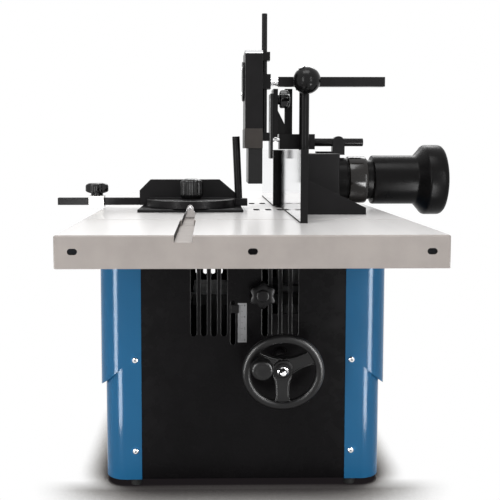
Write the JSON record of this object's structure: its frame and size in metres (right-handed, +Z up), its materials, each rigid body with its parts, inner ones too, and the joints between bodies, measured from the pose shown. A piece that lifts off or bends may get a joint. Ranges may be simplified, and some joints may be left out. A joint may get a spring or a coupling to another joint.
{
  "type": "spindle moulder",
  "caption": "Bench-top spindle moulder: sheet cabinet, slotted table with extensions, split fence with dust hood, sprung hold-down, mitre gauge and handwheel height lift.",
  "frame": {"origin": "on the floor, at the middle of the four bench bolt holes in the feet", "axes": "+X from the operator's side to the dust port, +Y along the fence and the table's length, +Z up"},
  "size_m": [0.752, 1.011, 0.838],
  "materials": {
    "cabinet_paint": "smooth blue enamel",
    "panel_black": "satin black enamel",
    "table_casting": "ground pale grey casting",
    "rubber": "matte rubber",
    "chrome": "polished",
    "scale_plate": "brushed plate with plain marks",
    "pointer": "black",
    "steel": "turned and ground",
    "machine_grey": "cast grey paint",
    "fence_aluminium": "bright drawn aluminium",
    "black_paint": "semi-gloss black paint",
    "black_plastic": "moulded black plastic",
    "start_green": "moulded green plastic",
    "stop_red": "moulded red plastic"
  },
  "bodies": {
    "frame": {"base_tray": "panel_black", "rubber_feet": "rubber", "corner_posts": "panel_black", "front_cover": "cabinet_paint", "rear_cover": "cabinet_paint", "near_end_panel": "panel_black", "far_end_panel": "panel_black", "cover_screws": "chrome", "height_scale": "scale_plate", "main_table": "table_casting", "near_extension_table": "table_casting", "far_extension_table": "table_casting", "extension_bolts": "steel", "table_insert": "table_casting", "guide_columns": "steel", "screw_bracket": "machine_grey", "switch_box": "black_plastic", "cable_gland": "black_plastic"},
    "carriage": {"lift_carriage": "machine_grey", "motor": "machine_grey", "drive_belt": "rubber", "spindle_housing": "machine_grey", "spindle_bearings": "steel", "height_pointer": "pointer"},
    "spindle": {"spindle": "steel", "spindle_pulley": "machine_grey", "spindle_collars": "steel"},
    "rotor": {"motor_pulley": "machine_grey"},
    "lead_screw": {"lead_screw": "steel"},
    "handwheel": {"handwheel": "black_plastic", "wheel_shaft": "steel", "acorn_nut": "chrome"},
    "crank": {"crank_knob": "black_plastic"},
    "lock": {"height_lock_knob": "black_plastic"},
    "fence": {"fence_base": "black_paint", "extraction_hood": "black_paint", "dust_adapter": "black_plastic", "hold_down_post": "black_paint"},
    "near_plate": {"near_fence_plate": "fence_aluminium"},
    "far_plate": {"far_fence_plate": "fence_aluminium", "far_fence_carrier": "black_paint"},
    "guard": {"guard_arm": "black_paint"},
    "visor": {"guard_visor": "black_plastic"},
    "guard_clamp": {"guard_knob": "black_plastic"},
    "cross_arm": {"cross_bar": "black_paint", "clamp_ring": "chrome"},
    "ball": {"ball_knob": "black_plastic"},
    "hold_down": {"upright": "black_paint", "shoe_housing": "black_paint"},
    "shoe": {"pressure_shoe": "black_plastic"},
    "gauge": {"gauge_bar": "steel", "gauge_base": "black_paint"},
    "gauge_swivel_head": {"gauge_head": "black_paint", "stop_rod": "black_paint", "clamp_post": "black_paint"},
    "gauge_clamp": {"gauge_knob": "black_plastic"},
    "length_stop": {"stop_block": "steel"},
    "stop_clamp": {"stop_knob": "black_plastic"},
    "start": {"start_button": "start_green"},
    "stop": {"stop_button": "stop_red"}
  },
  "joints": [
    {"name": "lift", "type": "slide", "parent": "frame", "child": "carriage", "axis": [0, 0, 1], "range_m": [-0.055, 0.005]},
    {"name": "spindle_spin", "type": "hinge", "parent": "carriage", "child": "spindle", "pos_m": [0.12, 0, 0.45], "axis": [0, 0, 1], "continuous": true},
    {"name": "motor_spin", "type": "hinge", "parent": "carriage", "child": "rotor", "pos_m": [-0.05, 0, 0.1], "axis": [0, 0, 1], "continuous": true},
    {"name": "screw_turn", "type": "hinge", "parent": "frame", "child": "lead_screw", "pos_m": [0.062, -0.15, 0.1], "axis": [0, 0, 1], "range_deg": [-182, 1982]},
    {"name": "handwheel_turn", "type": "hinge", "parent": "frame", "child": "handwheel", "pos_m": [0.062, -0.29, 0.217], "axis": [0, 0.9781, 0.2079], "range_deg": [-1982, 182]},
    {"name": "crank_spin", "type": "hinge", "parent": "handwheel", "child": "crank", "pos_m": [0.0258, -0.294, 0.23583], "axis": [0, 0.9781, 0.2079], "continuous": true},
    {"name": "lock_turn", "type": "hinge", "parent": "frame", "child": "lock", "pos_m": [0.031, -0.25, 0.336], "axis": [0, 1, 0], "range_deg": [0, 180]},
    {"name": "fence_slide", "type": "slide", "parent": "frame", "child": "fence", "axis": [1, 0, 0], "range_m": [0, 0.03]},
    {"name": "near_plate_slide", "type": "slide", "parent": "fence", "child": "near_plate", "axis": [0, 1, 0], "range_m": [-0.024, 0]},
    {"name": "far_plate_slide", "type": "slide", "parent": "fence", "child": "far_plate", "axis": [0, 1, 0], "range_m": [0, 0.024]},
    {"name": "guard_slide", "type": "slide", "parent": "fence", "child": "guard", "axis": [1, 0, 0], "range_m": [-0.012, 0.018]},
    {"name": "visor_lift", "type": "slide", "parent": "guard", "child": "visor", "axis": [0, 0, 1], "range_m": [0, 0.035]},
    {"name": "guard_knob_turn", "type": "hinge", "parent": "guard", "child": "guard_clamp", "pos_m": [0.08, -0.006, 0.677], "axis": [1, 0, 0], "range_deg": [0, 180]},
    {"name": "cross_bar_slide", "type": "slide", "parent": "fence", "child": "cross_arm", "axis": [1, 0, 0], "range_m": [-0.004, 0.015]},
    {"name": "ball_knob_turn", "type": "hinge", "parent": "fence", "child": "ball", "pos_m": [0.1245, -0.06, 0.709], "axis": [0, 1, 0], "range_deg": [0, 180]},
    {"name": "upright_slide", "type": "slide", "parent": "cross_arm", "child": "hold_down", "axis": [0, 0, 1], "range_m": [-0.02, 0.06]},
    {"name": "shoe_press", "type": "slide", "parent": "hold_down", "child": "shoe", "axis": [0, 0, 1], "range_m": [0, 0.03], "stiffness_N_per_m": 400, "springref_m": -0.01},
    {"name": "gauge_slide", "type": "slide", "parent": "frame", "child": "gauge", "axis": [0, 1, 0], "range_m": [-0.2, 0.12]},
    {"name": "gauge_swivel", "type": "hinge", "parent": "gauge", "child": "gauge_swivel_head", "pos_m": [-0.0925, -0.06, 0.48], "axis": [0, 0, 1], "range_deg": [-45, 45]},
    {"name": "gauge_knob_turn", "type": "hinge", "parent": "gauge", "child": "gauge_clamp", "pos_m": [-0.0925, -0.06, 0.5], "axis": [0, 0, 1], "range_deg": [0, 270]},
    {"name": "stop_slide", "type": "slide", "parent": "gauge_swivel_head", "child": "length_stop", "axis": [1, 0, 0], "range_m": [-0.05, 0.03]},
    {"name": "stop_knob_turn", "type": "hinge", "parent": "length_stop", "child": "stop_clamp", "pos_m": [-0.276, -0.03, 0.5], "axis": [0, 0, 1], "range_deg": [0, 270]},
    {"name": "start_press", "type": "slide", "parent": "frame", "child": "start", "axis": [1, 0, 0], "range_m": [0, 0.003], "stiffness_N_per_m": 900},
    {"name": "stop_press", "type": "slide", "parent": "frame", "child": "stop", "axis": [1, 0, 0], "range_m": [0, 0.003], "stiffness_N_per_m": 900}
  ],
  "couplings": [
    {"joint": "motor_spin", "follows": "spindle_spin", "ratio": 0.66667},
    {"joint": "handwheel_turn", "follows": "lift", "rad_per_m": 628.32},
    {"joint": "screw_turn", "follows": "lift", "rad_per_m": -628.32}
  ]
}
